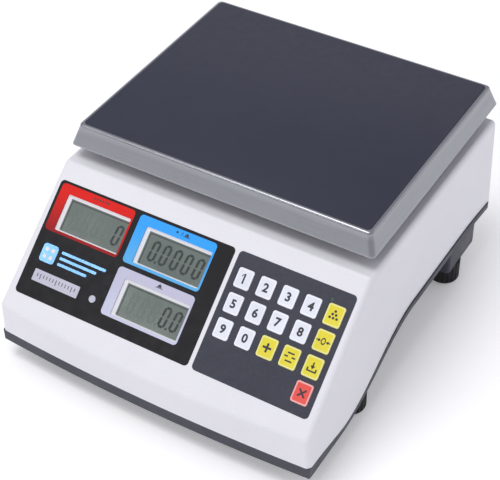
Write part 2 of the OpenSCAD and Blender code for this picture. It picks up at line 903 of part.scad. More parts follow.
// A cylinder head screw with its shank up and the underside of its head at z = 0
module head_screw(r, length) {
    head_h = 1.4 * r;
    cylinder(r = r, h = length);
    translate([0, 0, -head_h]) difference() {
        cylinder(r = 1.9 * r, h = head_h);
        translate([0, 0, -1]) cylinder(r = r, h = 1 + head_h / 2, $fn = 6);
    }
}

module case_screws() {
    case_bite = 10;
    board_bite = 5;
    door_bite = 2;
    color("gray") {
        for (p = pillars) {
            seat = floor_under(p[1]) + screw_seat_h;
            translate([p[0], p[1], seat]) head_screw(pillar_bore_r, p[2] - seat + case_bite);
        }
        for (p = board_posts)
            on_panel(p, board_n - board_t) head_screw(board_post_bore_r, board_t + board_bite);
        for (s = [-1, 1])
            translate([battery_pos[0] + s * door_screw_x, battery_pos[1], arch_z - door_t])
                head_screw(door_screw_r, door_t + door_bite);
    }
}

// ---------- feet ----------

module foot_inserts() {
    color("goldenrod") for (p = foot_positions) translate([p[0], p[1], boss_z]) difference() {
        cylinder(r = insert_r, h = insert_h);
        translate([0, 0, -1]) cylinder(r = stud_r + insert_clearance, h = insert_h + 2);
    }
}

module foot_stud(i) {
    p = foot_positions[i - 1];
    color("silver") translate([p[0], p[1], 0]) {
        translate([0, 0, flange_z]) cylinder(r = stud_r, h = stud_top - flange_z);
        translate([0, 0, flange_z]) cylinder(r = flange_r, h = flange_h);
    }
}

// A fluted foot with a round lower edge, hollow round the stud and its flange
module foot_pad(i) {
    p = foot_positions[i - 1];
    flutes = 20;
    flute_r = 1.1;
    flute_out = 0.4;
    low_r = 3;
    fit = 0.05;
    color("black") translate([p[0], p[1], 0]) difference() {
        rotate_extrude() {
            difference() {
                union() {
                    square([foot_r - low_r, foot_h]);
                    translate([0, low_r]) square([foot_r, foot_h - low_r]);
                    translate([foot_r - low_r, low_r]) circle(low_r);
                }
                translate([-foot_r, 0]) square([foot_r, foot_h]);
            }
        }
        for (a = [0 : 360 / flutes : 359])
            rotate([0, 0, a]) translate([foot_r + flute_out, 0, low_r + 1])
                cylinder(r = flute_r, h = foot_h, $fn = 16);
        translate([0, 0, flange_z - fit]) cylinder(r = flange_r + fit, h = flange_h + 2 * fit);
        translate([0, 0, flange_z]) cylinder(r = stud_r + fit, h = foot_h);
    }
}

top_cover();
base_tray();
pan();
pan_film();
pan_support();
pan_cushions();
load_cell();
lower_spacer();
upper_spacer();
base_plate();
load_cell_bolts();
overload_stop();
display_overlay();
red_frame();
blue_frame();
grey_frame();
lcd_bezels();
lcd_panels();
lcd_holders();
keypad_overlay();
key("1", "white");  // key_1
key("2", "white");  // key_2
key("3", "white");  // key_3
key("4", "white");  // key_4
key("sample", "gold");  // key_sample
key("5", "white");  // key_5
key("6", "white");  // key_6
key("7", "white");  // key_7
key("8", "white");  // key_8
key("zero", "gold");  // key_zero
key("9", "white");  // key_9
key("0", "white");  // key_0
key("add", "gold");  // key_add
key("add_clear", "gold");  // key_add_clear
key("tare", "gold");  // key_tare
key("clear", "tomato");  // key_clear
status_led();
name_badge();
rating_strip();
display_board();
key_switches();
main_board();
battery();
battery_strap();
battery_door();
transformer();
power_inlet();
switch_frame();
power_rocker();
bubble_level();
case_screws();
foot_inserts();
foot_stud(1);  // foot_stud_1
foot_stud(2);  // foot_stud_2
foot_stud(3);  // foot_stud_3
foot_stud(4);  // foot_stud_4
foot_pad(1);  // foot_pad_1
foot_pad(2);  // foot_pad_2
foot_pad(3);  // foot_pad_3
foot_pad(4);  // foot_pad_4
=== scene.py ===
"""Counting scale: looks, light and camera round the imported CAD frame. Metres, Z up."""
import json
import math

import bmesh
import bpy
from mathutils import Matrix, Vector


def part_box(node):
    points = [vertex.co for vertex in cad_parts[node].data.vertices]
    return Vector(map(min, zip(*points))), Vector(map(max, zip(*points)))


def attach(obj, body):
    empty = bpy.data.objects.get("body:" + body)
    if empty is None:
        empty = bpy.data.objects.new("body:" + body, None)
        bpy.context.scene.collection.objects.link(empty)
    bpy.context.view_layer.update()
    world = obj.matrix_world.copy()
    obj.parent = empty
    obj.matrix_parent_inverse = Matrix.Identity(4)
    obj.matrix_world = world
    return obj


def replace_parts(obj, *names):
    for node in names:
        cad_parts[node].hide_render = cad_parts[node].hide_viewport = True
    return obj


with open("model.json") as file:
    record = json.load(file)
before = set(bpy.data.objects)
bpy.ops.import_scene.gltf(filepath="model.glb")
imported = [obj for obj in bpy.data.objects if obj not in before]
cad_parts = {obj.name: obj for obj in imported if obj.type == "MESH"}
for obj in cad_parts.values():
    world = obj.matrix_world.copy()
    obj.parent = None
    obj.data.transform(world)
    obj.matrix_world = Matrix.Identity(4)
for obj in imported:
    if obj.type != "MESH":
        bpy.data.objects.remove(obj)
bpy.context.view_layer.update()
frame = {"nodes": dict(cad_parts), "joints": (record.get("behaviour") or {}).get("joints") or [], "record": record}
MM = 0.001

# ---------- panel frame: X across, V up the slope, N out of the panel ----------

press = next(j for j in frame["joints"] if j["name"] == "key_1_press")
NORMAL = -Vector(press["axis"]).normalized()
UP_SLOPE = Vector((0, NORMAL.z, -NORMAL.y))
PANEL = Matrix((Vector((1, 0, 0)), UP_SLOPE, NORMAL)).transposed()


def panel_box(node):
    """(lowest, highest) corner of a CAD node in the panel's own X, V, N."""
    points = [PANEL.transposed() @ v.co for v in frame["nodes"][node].data.vertices]
    low = Vector(min(p[i] for p in points) for i in range(3))
    high = Vector(max(p[i] for p in points) for i in range(3))
    return low, high


def on_panel(x, v, n):
    """The matrix that puts a piece built flat at the origin onto the panel at X, V, N."""
    return Matrix.Translation(PANEL @ Vector((x, v, n))) @ PANEL.to_4x4()


# ---------- materials ----------


def shade(colour, factor):
    return tuple(c * factor for c in colour)


class Surface:
    """A node material built round one Principled shader, with shorthands for what it repeats."""

    def __init__(self, name, **constants):
        self.name = name
        self.material = bpy.data.materials.new(name)
        self.material.use_nodes = True
        self.tree = self.material.node_tree
        self.shader = self.tree.nodes["Principled BSDF"]
        for socket, value in constants.items():
            self.shader.inputs[socket.replace("_", " ")].default_value = value
        self.place = self.add("ShaderNodeTexCoord").outputs["Object"]

    def add(self, kind, **settings):
        node = self.tree.nodes.new(kind)
        for key, value in settings.items():
            setattr(node, key, value)
        return node

    def link(self, source, target):
        self.tree.links.new(source, target)

    def scaled(self, size):
        """Object coordinates divided by a feature size in metres, one number or three."""
        sizes = size if hasattr(size, "__len__") else (size, size, size)
        mapping = self.add("ShaderNodeMapping")
        mapping.inputs["Scale"].default_value = [1 / s for s in sizes]
        self.link(self.place, mapping.inputs["Vector"])
        return mapping.outputs["Vector"]

    def noise(self, size, detail=2.0, rough=0.5):
        node = self.add("ShaderNodeTexNoise")
        node.inputs["Scale"].default_value = 1.0
        node.inputs["Detail"].default_value = detail
        node.inputs["Roughness"].default_value = rough
        self.link(self.scaled(size), node.inputs["Vector"])
        return node.outputs["Fac"]

    def cells(self, size):
        node = self.add("ShaderNodeTexVoronoi")
        node.inputs["Scale"].default_value = 1.0
        self.link(self.scaled(size), node.inputs["Vector"])
        return node.outputs["Distance"]

    def ramp(self, factor, stops):
        """A colour or grey ramp: stops are (position, value or colour)."""
        node = self.add("ShaderNodeValToRGB")
        while len(node.color_ramp.elements) < len(stops):
            node.color_ramp.elements.new(0.5)
        for element, (position, value) in zip(node.color_ramp.elements, stops):
            element.position = position
            colour = value if hasattr(value, "__len__") else (value, value, value)
            element.color = (*colour, 1)
        self.link(factor, node.inputs["Fac"])
        return node.outputs["Color"]

    def tones(self, factor, dark, light, edge=0.3):
        """A ramp from dark at edge to light at 1 - edge."""
        return self.ramp(factor, [(edge, dark), (1 - edge, light)])

    def shades(self, factor, colour, darkest, lightest, edge=0.3):
        """A ramp between two shades of one colour."""
        return self.tones(factor, shade(colour, darkest), shade(colour, lightest), edge)

    def blend(self, factor, a, b):
        """A mix of two colour outputs by a number or an output."""
        node = self.add("ShaderNodeMix", data_type="RGBA")
        for socket, value in ((node.inputs[0], factor), (node.inputs[6], a), (node.inputs[7], b)):
            if isinstance(value, bpy.types.NodeSocket):
                self.link(value, socket)
            else:
                socket.default_value = value
        return node.outputs[2]

    def colour(self, source):
        self.link(source, self.shader.inputs["Base Color"])

    def roughness(self, factor, low, high):
        self.link(self.tones(factor, low, high), self.shader.inputs["Roughness"])

    def bumps(self, *layers):
        """Stacks bump layers of (height, depth in metres, strength)."""
        previous = None
        for height, depth, strength in layers:
            node = self.add("ShaderNodeBump")
            node.inputs["Distance"].default_value = depth
            node.inputs["Strength"].default_value = strength
            self.link(height, node.inputs["Height"])
            if previous:
                self.link(previous, node.inputs["Normal"])
            previous = node.outputs["Normal"]
        self.link(previous, self.shader.inputs["Normal"])
        return self


def moulded(name, colour, low, high, grain=0.5 * MM, spread=0.04, **constants):
    """Injection moulded plastic: spark-eroded grain, faint flow marks and uneven gloss."""
    s = Surface(name, **constants)
    flow = s.noise(60 * MM, 3)
    speck = s.noise(2 * grain, 2)
    tone = s.shades(flow, colour, 1 - spread, 1 + spread)
    s.colour(s.blend(0.12, tone, s.shades(speck, colour, 0.8, 1.15, edge=0.35)))
    s.roughness(s.noise(25 * MM, 3), low, high)
    return s.bumps((s.noise(grain, 3), 0.03 * MM, 0.5), (flow, 0.4 * MM, 0.08))


def printed_film(name, colour, low, high, grain=1.2 * MM, spread=0.1, **constants):
    """Screen printed polyester film: mottled ink under a fine texture."""
    s = Surface(name, **constants)
    ink = s.noise(grain, 4, 0.65)
    cloud = s.noise(30 * MM, 2)
    base = s.shades(ink, colour, 1 - spread, 1 + spread)
    s.colour(s.blend(0.25, base, s.shades(cloud, colour, 0.85, 1.15)))
    s.roughness(s.noise(8 * MM, 3), low, high)
    return s.bumps((s.noise(0.35 * MM, 2), 0.012 * MM, 0.5), (cloud, 0.3 * MM, 0.05))


def gradient_film(name, top, bottom, node, **constants):
    """Printed film whose ink runs from one colour to another down a CAD node's height."""
    low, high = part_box(node)
    s = Surface(name, **constants)
    split = s.add("ShaderNodeSeparateXYZ")
    s.link(s.place, split.inputs["Vector"])
    reach = s.add("ShaderNodeMapRange")
    reach.inputs["From Min"].default_value = low.z
    reach.inputs["From Max"].default_value = high.z
    s.link(split.outputs["Z"], reach.inputs["Value"])
    ink = s.noise(1.5 * MM, 4, 0.6)
    base = s.ramp(reach.outputs["Result"], [(0.1, bottom), (0.8, top)])
    s.colour(s.blend(0.12, base, s.tones(ink, shade(bottom, 0.7), shade(top, 1.2))))
    s.roughness(s.noise(8 * MM, 3), 0.3, 0.42)
    return s.bumps((s.noise(0.35 * MM, 2), 0.01 * MM, 0.4))


def brushed(name, colour, low, high, lines):
    """Metal with brush lines: lines gives the noise size along X, Y and Z."""
    s = Surface(name, Metallic=1.0)
    fine = s.noise(lines, 3, 0.7)
    coarse = s.noise(tuple(3.1 * v for v in lines), 2)
    cloud = s.noise(45 * MM, 3)
    base = s.shades(fine, colour, 0.84, 1.16, edge=0.25)
    s.colour(s.blend(0.3, base, s.shades(cloud, colour, 0.88, 1.1)))
    s.roughness(s.blend(0.5, coarse, cloud), low, high)
    return s.bumps((fine, 0.02 * MM, 0.35), (cloud, 0.6 * MM, 0.05))


def cast(name, colour, low, high):
    """Die-cast or sand-cast metal: pitted skin and dull patches."""
    s = Surface(name, Metallic=0.9)
    pits = s.cells(1.4 * MM)
    cloud = s.noise(12 * MM, 4)
    s.colour(s.shades(cloud, colour, 0.78, 1.08))
    s.roughness(cloud, low, high)
    return s.bumps((pits, 0.06 * MM, 0.35), (s.noise(3 * MM, 4), 0.12 * MM, 0.3))


def rubber(name, colour, **constants):
    """Matt moulded rubber with bloom and fine grain."""
    s = Surface(name, **constants)
    bloom = s.noise(9 * MM, 4, 0.6)
    s.colour(s.ramp(bloom, [(0.35, shade(colour, 0.75)), (0.75, shade(colour, 1.9))]))
    s.roughness(bloom, 0.5, 0.72)
    return s.bumps((s.noise(0.4 * MM, 2), 0.03 * MM, 0.5))


def circuit_board(name, colour):
    """Solder mask over copper tracks, in a brick pattern."""
    s = Surface(name, Coat_Weight=0.4)
    tracks = s.add("ShaderNodeTexBrick")
    tracks.inputs["Scale"].default_value = 1.0
    tracks.inputs["Mortar Size"].default_value = 0.06
    tracks.inputs["Color1"].default_value = (*colour, 1)
    tracks.inputs["Color2"].default_value = (*shade(colour, 0.8), 1)
    tracks.inputs["Mortar"].default_value = (*shade(colour, 2.4), 1)
    s.link(s.scaled(4 * MM), tracks.inputs["Vector"])
    s.colour(tracks.outputs["Color"])
    s.roughness(s.noise(5 * MM), 0.3, 0.45)
    return s.bumps((tracks.outputs["Fac"], 0.04 * MM, 0.5), (s.noise(0.4 * MM), 0.01 * MM, 0.4))


def lcd_surface(name, dark, light):
    """Reflective display: green-grey polariser with a painted sheen in soft patches, under the cell's fine screen.
    """
    s = Surface(name, Coat_Weight=0.15, Coat_Roughness=0.08, Specular_IOR_Level=0.35)
    # Painted sheen: the glass colour runs lighter and darker in soft patches
    painted_sheen = s.noise(38 * MM, 1)
    screen = s.noise(0.6 * MM, 1)
    tone = s.tones(painted_sheen, dark, light)
    s.colour(s.blend(0.15, tone, s.tones(screen, shade(dark, 0.9), shade(light, 1.1), edge=0.4)))
    s.roughness(s.noise(10 * MM), 0.28, 0.38)
    return s.bumps((screen, 0.004 * MM, 0.3))


CASING = (0.775, 0.772, 0.81)
CHARCOAL = (0.026, 0.028, 0.045)
STEEL = (0.325, 0.335, 0.355)
FILM = (0.026, 0.029, 0.050)
SLATE = (0.034, 0.037, 0.056)

# Brush lines: the noise is long along the brushing and fine across it
ROUND_THE_SKIRT = (60 * MM, 60 * MM, 0.35 * MM)
ALONG_THE_BEAM = (0.3 * MM, 40 * MM, 40 * MM)
TURNED_STEEL = (2 * MM, 2 * MM, 0.25 * MM)
TURNED_BRASS = (3 * MM, 3 * MM, 0.2 * MM)
DOWN_THE_BADGE = (0.3 * MM, 20 * MM, 20 * MM)
CORE_SHEETS = (30 * MM, 0.6 * MM, 30 * MM)

FINISHES = [
    moulded("casing_white", CASING, 0.38, 0.5, spread=0.015),
    moulded("tray_charcoal", CHARCOAL, 0.42, 0.56, grain=0.7 * MM, spread=0.12),
    brushed("pan_steel", STEEL, 0.24, 0.36, ROUND_THE_SKIRT),
    printed_film("pan_film", FILM, 0.47, 0.53, grain=1.5 * MM, spread=0.04, Specular_IOR_Level=0.33),
    cast("cast_alloy", (0.55, 0.56, 0.58), 0.42, 0.6),
    brushed("beam_alloy", (0.70, 0.71, 0.73), 0.25, 0.38, ALONG_THE_BEAM),
    moulded("plate_steel", (0.13, 0.14, 0.16), 0.35, 0.5, grain=1 * MM, Metallic=0.5),
    brushed("fastener_steel", (0.62, 0.62, 0.63), 0.2, 0.34, TURNED_STEEL),
    cast("black_screw", (0.03, 0.03, 0.033), 0.35, 0.5),
    brushed("brass", (0.66, 0.46, 0.16), 0.22, 0.36, TURNED_BRASS),
    rubber("rubber_black", (0.018, 0.018, 0.02)),
    printed_film(
        "overlay_black", (0.008, 0.008, 0.010), 0.3, 0.42, spread=0.15, Specular_IOR_Level=0.2,
    ),
    printed_film("overlay_slate", SLATE, 0.42, 0.54, 2.2 * MM, spread=0.22, Specular_IOR_Level=0.36),
    gradient_film(
        "frame_red", (0.72, 0.014, 0.010), (0.30, 0.010, 0.012), "red_frame", Specular_IOR_Level=0.15,
    ),
    gradient_film(
        "frame_blue", (0.026, 0.36, 0.95), (0.10, 0.42, 0.78), "blue_frame", Specular_IOR_Level=0.25,
    ),
    gradient_film("frame_grey", (0.50, 0.50, 0.65), (0.56, 0.57, 0.74), "grey_frame"),
    moulded("bezel_white", (0.90, 0.90, 0.93), 0.3, 0.4, grain=0.4 * MM, spread=0.02),
    lcd_surface("lcd_glass", (0.105, 0.134, 0.120), (0.135, 0.168, 0.148)),
    moulded("holder_black", (0.02, 0.02, 0.02), 0.4, 0.5),
    printed_film("key_white", (0.76, 0.79, 0.87), 0.38, 0.5, spread=0.03),
    printed_film("key_yellow", (0.78, 0.68, 0.028), 0.38, 0.5, spread=0.05),
    printed_film("key_red", (0.80, 0.075, 0.06), 0.38, 0.5, spread=0.06),
    moulded("led_green", (0.05, 0.075, 0.065), 0.25, 0.35),
    brushed("badge_blue", (0.20, 0.42, 0.75), 0.25, 0.4, DOWN_THE_BADGE),
    printed_film("label_grey", (0.50, 0.50, 0.60), 0.3, 0.4, spread=0.05),
    circuit_board("board_green", (0.012, 0.12, 0.045)),
    moulded("switch_black", (0.03, 0.03, 0.03), 0.4, 0.5),
    moulded("battery_grey", (0.09, 0.09, 0.10), 0.4, 0.55, grain=0.9 * MM),
    brushed("core_brown", (0.22, 0.13, 0.07), 0.4, 0.6, CORE_SHEETS),
    moulded("fitting_black", (0.018, 0.018, 0.019), 0.25, 0.38),
    moulded("level_green", (0.45, 0.68, 0.12), 0.12, 0.2, Coat_Weight=0.6),
    rubber("foot_black", (0.005, 0.005, 0.006), Specular_IOR_Level=0.35),
]
SURFACES = {finish.name: finish.material for finish in FINISHES}

# Printing inks: a finish and the record's slot that it belongs to
INKS = {
    "ink_dark": (printed_film("ink_dark", (0.018, 0.018, 0.028), 0.35, 0.45, 0.5 * MM), "overlay_black"),
    "ink_white": (printed_film("ink_white", (0.80, 0.76, 0.76), 0.35, 0.45, 0.5 * MM), "key_white"),
    "ink_lcd": (printed_film("ink_lcd", (0.013, 0.018, 0.018), 0.3, 0.4, 0.4 * MM), "lcd_glass"),
    "ink_bubble": (printed_film("ink_bubble", (0.74, 0.86, 0.45), 0.1, 0.2, 1 * MM), "level_green"),
    "ink_lcd_faint": (
        printed_film("ink_lcd_faint", (0.112, 0.142, 0.126), 0.3, 0.4, 0.4 * MM), "lcd_glass",
    ),
}
# A paler copy of each key's finish for its raised border and sides, a painted highlight, by the key's own slot
KEY_PAINTED_HIGHLIGHTS = {
    "key_white": printed_film("key_white_painted_highlight", (0.86, 0.88, 0.94), 0.34, 0.46, spread=0.03),
    "key_yellow": printed_film("key_yellow_painted_highlight", (0.84, 0.80, 0.28), 0.34, 0.46, spread=0.03),
    "key_red": printed_film("key_red_painted_highlight", (0.86, 0.42, 0.40), 0.34, 0.46, spread=0.03),
}

# ---------- CAD nodes take their finish from the record's slots ----------

node_slot = {s["node"]: s["material_slot"] for s in frame["record"]["subparts"]}
for name, node in frame["nodes"].items():
    node.data.materials.clear()
    node.data.materials.append(SURFACES[node_slot[name]])

# ---------- mesh helpers ----------


def rounded_outline(half_x, half_v, radius, steps):
    """Points of a rectangle with round corners, anticlockwise."""
    points = []
    for turn, (sx, sy) in enumerate(((1, 1), (-1, 1), (-1, -1), (1, -1))):
        for step in range(steps + 1):
            angle = math.radians(90 * turn + 90 * step / steps)
            points.append((
                sx * (half_x - radius) + radius * math.cos(angle),
                sy * (half_v - radius) + radius * math.sin(angle),
            ))
    return points


def quarter_bend(radius, steps):
    """(inward, down) pairs round a quarter circle, from the flat top to the upright wall."""
    angles = [math.radians(90 * i / steps) for i in range(steps + 1)]
    return [(radius * (1 - math.sin(a)), radius * (1 - math.cos(a))) for a in angles]


def loft(rings):
    """A closed bmesh skin over rings of (outline, height), lowest first; its last face is the top."""
    bm = bmesh.new()
    loops = [[bm.verts.new((x, y, height)) for x, y in outline] for outline, height in rings]
    for low, high in zip(loops, loops[1:]):
        for i, corner in enumerate(low):
            following = (i + 1) % len(low)
            bm.faces.new((corner, low[following], high[following], high[i]))
    bm.faces.new(list(reversed(loops[0])))
    bm.faces.new(loops[-1])
    bm.normal_update()
    return bm


def piece(name, bm, slot, body, place, materials=None, smooth_angle=30):
    """Turns a bmesh into an object with a finish, riding on a body."""
    mesh = bpy.data.meshes.new(name)
    bm.to_mesh(mesh)
    bm.free()
    obj = bpy.data.objects.new(name, mesh)
    bpy.context.scene.collection.objects.link(obj)
    mesh.transform(place)
    for material in materials or [SURFACES[slot]]:
        mesh.materials.append(material)
    mesh.shade_smooth()
    mesh.set_sharp_from_angle(angle=math.radians(smooth_angle))
    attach(obj, body)
    return obj


# ---------- pan: bent steel sheet and its top film ----------

PAN_CORNER_STEPS = 8


def make_pan_sheet():
    low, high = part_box("pan")
    film_low, film_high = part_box("pan_film")
    centre = (low + high) / 2
    border = 3 * MM
    flat_x = (film_high.x - film_low.x) / 2 + border
    flat_y = (film_high.y - film_low.y) / 2 + border
    flare = (high.x - low.x) / 2 - flat_x
    drop = high.z - low.z
    sheet = 1.2 * MM
    bend = 2.6 * MM
    bulge = 0.5 * MM
    corner = 5 * MM
    tightest = 1.2 * MM
    hem = 0.45 * MM
    lip = 0.1 * MM

    def flat(grown, radius):
        return rounded_outline(flat_x + grown, flat_y + grown, radius, PAN_CORNER_STEPS)

    def wall(depth, inset):
        """Outline of the skirt at a depth below the top, pulled in by the sheet's thickness."""
        out = bulge + (flare - bulge) * (depth - bend) / (drop - bend)
        return flat(out - inset, corner - 0.6 * inset)

    rings = [(flat(-12 * MM, 1 * MM), 0)]
    for inward, down in quarter_bend(bend, 8):
        rings.append((flat(bulge - inward, max(corner - 0.8 * inward, tightest)), down))
    for depth in (0.35 * drop, 0.7 * drop, drop - 1.6 * MM, drop - hem):
        rings.append((wall(depth, 0), depth))
    rings.append((wall(drop - lip, 0.4 * hem), drop))
    rings.append((wall(drop - lip, sheet), drop))
    rings.append((wall(drop - hem, sheet + 0.35 * MM), drop - hem))
    for depth in (drop - 2.4 * MM, bend + 1.2 * MM):
        rings.append((wall(depth, sheet), depth))
    rings.append((wall(bend, sheet + 1.6 * MM), sheet))

    skin = loft([(outline, high.z - depth) for outline, depth in reversed(rings)])
    place = Matrix.Translation((centre.x, centre.y, 0))
    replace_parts(piece("pan_sheet", skin, "pan_steel", "pan", place, smooth_angle=50), "pan")


def make_pan_film():
    low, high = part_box("pan_film")
    pan_low, pan_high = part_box("pan")
    centre = (pan_low + pan_high) / 2
    half_x = (high.x - low.x) / 2
    half_y = (high.y - low.y) / 2
    edge = 0.25 * MM
    corner = 4 * MM
    rings = [
        (rounded_outline(half_x - inset, half_y - inset, radius, PAN_CORNER_STEPS), height)
        for inset, radius, height in (
            (0, corner, low.z),
            (0, corner, high.z - edge),
            (0.4 * edge, corner, high.z - 0.3 * edge),
            (edge, corner - 0.2 * MM, high.z),
        )
    ]
    place = Matrix.Translation((centre.x, centre.y, 0))
    film = piece("pan_top_film", loft(rings), "pan_film", "pan", place, smooth_angle=60)
    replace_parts(film, "pan_film")


# ---------- flat printed shapes, in millimetres ----------

LEGEND_N = 0.02 * MM
INK_THICKNESS = 0.05 * MM


def printed(name, shapes, body, place, ink):
    """Ink shapes: flat anticlockwise outlines round a place, raised by the ink's thickness."""
    bm = bmesh.new()
    for shape in shapes:
        low = [bm.verts.new((px * MM, pv * MM, 0)) for px, pv in shape]
        high = [bm.verts.new((px * MM, pv * MM, INK_THICKNESS)) for px, pv in shape]
        bm.faces.new(high)
        for i in range(len(low)):
            j = (i + 1) % len(low)
            bm.faces.new((low[i], low[j], high[j], high[i]))
    bm.normal_update()
    surface, slot = INKS[ink]
    return piece(name, bm, slot, body, place, [surface.material])


def bar(x, v, width, height, slant=0.0):
    """A rectangle centred on (x, v); its top is shifted by slant."""
    w, h = width / 2, height / 2
    return [(x - w, v - h), (x + w, v - h), (x + w + slant, v + h), (x - w + slant, v + h)]


def disc(x, v, radius, sides=20):
    angles = [2 * math.pi * i / sides for i in range(sides)]
    return [(x + radius * math.cos(a), v + radius * math.sin(a)) for a in angles]


def ring_shapes(x, v, radius, width, sides=24, stretch=1.0):
    """A ring as quads, so that its middle stays open."""

    def point(reach, number):
        angle = 2 * math.pi * number / sides
        return x + reach * math.cos(angle), v + stretch * reach * math.sin(angle)

    inner = radius - width
    return [
        [point(inner, i), point(radius, i), point(radius, i + 1), point(inner, i + 1)]
        for i in range(sides)
    ]


def arrow(x, v, length, direction):
    """A short arrow along X that points to direction, 1 or -1."""
    head_length, head_half, shaft_width = 2.2, 1.5, 0.9
    shaft = bar(x - direction * 0.8, v, length - 1.6, shaft_width)
    tip = x + direction * length / 2
    base = tip - direction * head_length
    head = [(base, v - direction * head_half), (tip, v), (base, v + direction * head_half)]
    return [shaft, head]


def turned(shapes, degrees):
    c, s = math.cos(math.radians(degrees)), math.sin(math.radians(degrees))
    return [[(x * c - v * s, x * s + v * c) for x, v in shape] for shape in shapes]


def weight_mark(x):
    """A plain block weight on a line."""
    block = [(x - 2.1, -1.0), (x + 2.1, -1.0), (x + 1.4, 0.9), (x - 1.4, 0.9)]
    return [bar(x, -1.6, 7.0, 0.6), block, bar(x, 1.3, 1.4, 0.8)]


# ---------- keys: pillowed caps whose raised border and sides carry a painted highlight, and a legend ---

KEYS = [name for name, slot in node_slot.items() if slot in KEY_PAINTED_HIGHLIGHTS]
KEY_CORNER_STEPS = 4
PIECES_IN_HEAP = ((-3.2, -2.2), (0, -2.2), (3.2, -2.2), (-1.6, 0.8), (1.6, 0.8), (0, 3.6))

# Legends drawn here, the 1 among them; the other keys take their numeral from the typeface
SYMBOLS = {
    "key_1": [
        [(-0.6, -4.5), (0.9, -4.5), (0.9, 4.5), (-0.3, 4.5), (-0.6, 3.4)],
        [(-0.6, 3.4), (-0.3, 4.5), (-2.4, 2.6), (-2.4, 1.3)],
    ],
    "key_sample": [disc(x, v, 1.15) for x, v in PIECES_IN_HEAP],
    "key_zero": arrow(-4.5, 0, 4.2, 1) + ring_shapes(0, 0, 2.1, 0.8, stretch=1.45) + arrow(4.5, 0, 4.2, -1),
    "key_add": [bar(0, 0, 8, 1.9), bar(0, 2.5, 1.9, 3.1), bar(0, -2.5, 1.9, 3.1)],
    "key_add_clear": [
        bar(0, 3.6, 6.4, 1.3), bar(-3.4, 0.4, 3.4, 1.3), bar(3.4, 0.4, 3.4, 1.3), bar(0, -3.4, 6.4, 1.3),
    ],
    "key_tare": [
        bar(0, -3.6, 9.0, 1.3), bar(-3.85, -1.9, 1.3, 2.1), bar(3.85, -1.9, 1.3, 2.1),
        bar(0, 2.6, 1.3, 3.2), [(-2.2, 1.2), (0, -1.8), (2.2, 1.2)],
    ],
    "key_clear": turned([bar(0, 0, 9, 1.6), bar(0, 2.65, 1.6, 3.7), bar(0, -2.65, 1.6, 3.7)], 45),
}


def key_cap(node):
    """A cap with a soft raised border, and the stem behind it; gives its middle and its top."""
    low, high = panel_box(node)
    centre = (low + high) / 2
    half_x, half_v = (high.x - low.x) / 2, (high.y - low.y) / 2
    skirt = high.z - 1.1 * MM
    soft = 0.55 * MM
    corner = 2 * MM
    stem = 4 * MM
    stem_bevel = 0.4 * MM
    border = 1.25 * MM
    border_slope = 0.15 * MM
    face = high.z - 0.04 * MM

    def ring(grown_x, grown_v, radius, height):
        return rounded_outline(grown_x, grown_v, radius, KEY_CORNER_STEPS), height

    rings = [
        ring(stem - stem_bevel, stem - stem_bevel, 0.6 * MM, low.z),
        ring(stem, stem, 0.8 * MM, low.z + 0.5 * MM),
        ring(stem, stem, 0.8 * MM, skirt),
        ring(half_x, half_v, corner, skirt),
    ]
    for inward, down in reversed(quarter_bend(soft, 4)):
        rings.append(ring(half_x - inward, half_v - inward, corner - 0.5 * inward, high.z - down))
    inner = border + border_slope
    rings.append(ring(half_x - border, half_v - border, 1.3 * MM, high.z))
    rings.append(ring(half_x - inner, half_v - inner, 1.2 * MM, face))
    skin = loft(rings)
    skin.faces.ensure_lookup_table()
    skin.faces[-1].material_index = 1
    slot = node_slot[node]
    # Every face but the top takes the paler painted highlight; the top takes the key's own finish
    finishes = [KEY_PAINTED_HIGHLIGHTS[slot].material, SURFACES[slot]]
    place = on_panel(centre.x, centre.y, 0)
    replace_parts(piece(node + "_cap", skin, slot, node, place, finishes, 40), node)
    return centre, face


def numeral(digit, body, place):
    """A printed numeral, from the built-in typeface, thickened a little."""
    curve = bpy.data.curves.new("numeral", "FONT")
    curve.body = digit
    curve.size = 10.4 * MM
    curve.offset = 0.36 * MM
    curve.extrude = 0.03 * MM
    curve.resolution_u = 4
    curve.align_x = "CENTER"
    curve.align_y = "CENTER"
    text = bpy.data.objects.new("numeral", curve)
    bpy.context.scene.collection.objects.link(text)
    mesh = bpy.data.meshes.new_from_object(text.evaluated_get(bpy.context.evaluated_depsgraph_get()))
    bpy.data.objects.remove(text)
    spans = [[p.co[i] for p in mesh.vertices] for i in range(2)]
    middle_x, middle_v = ((min(span) + max(span)) / 2 for span in spans)
    bm = bmesh.new()
    bm.from_mesh(mesh)
    bmesh.ops.translate(bm, verts=bm.verts, vec=(-middle_x, -middle_v, 0))
    bpy.data.meshes.remove(mesh)
    surface, slot = INKS["ink_dark"]
    piece("numeral_" + digit, bm, slot, body, place, [surface.material])


def make_keys():
    for node in KEYS:
        centre, face = key_cap(node)
        label = node.removeprefix("key_")
        place = on_panel(centre.x, centre.y, face + LEGEND_N)
        if node in SYMBOLS:
            printed("symbol_" + label, SYMBOLS[node], node, place, "ink_dark")
        else:
            numeral(label, node, place)


# ---------- displays: seven-segment figures on the glass, in millimetres ----------

FIGURES = 5
FIGURE_PITCH = 11.4
FIGURE_HEIGHT = 19.5
ZERO_SEGMENTS = "abcdef"
# The glass's middle from the middle of its coloured frame
GLASS_SHIFT = (5.6, -4)


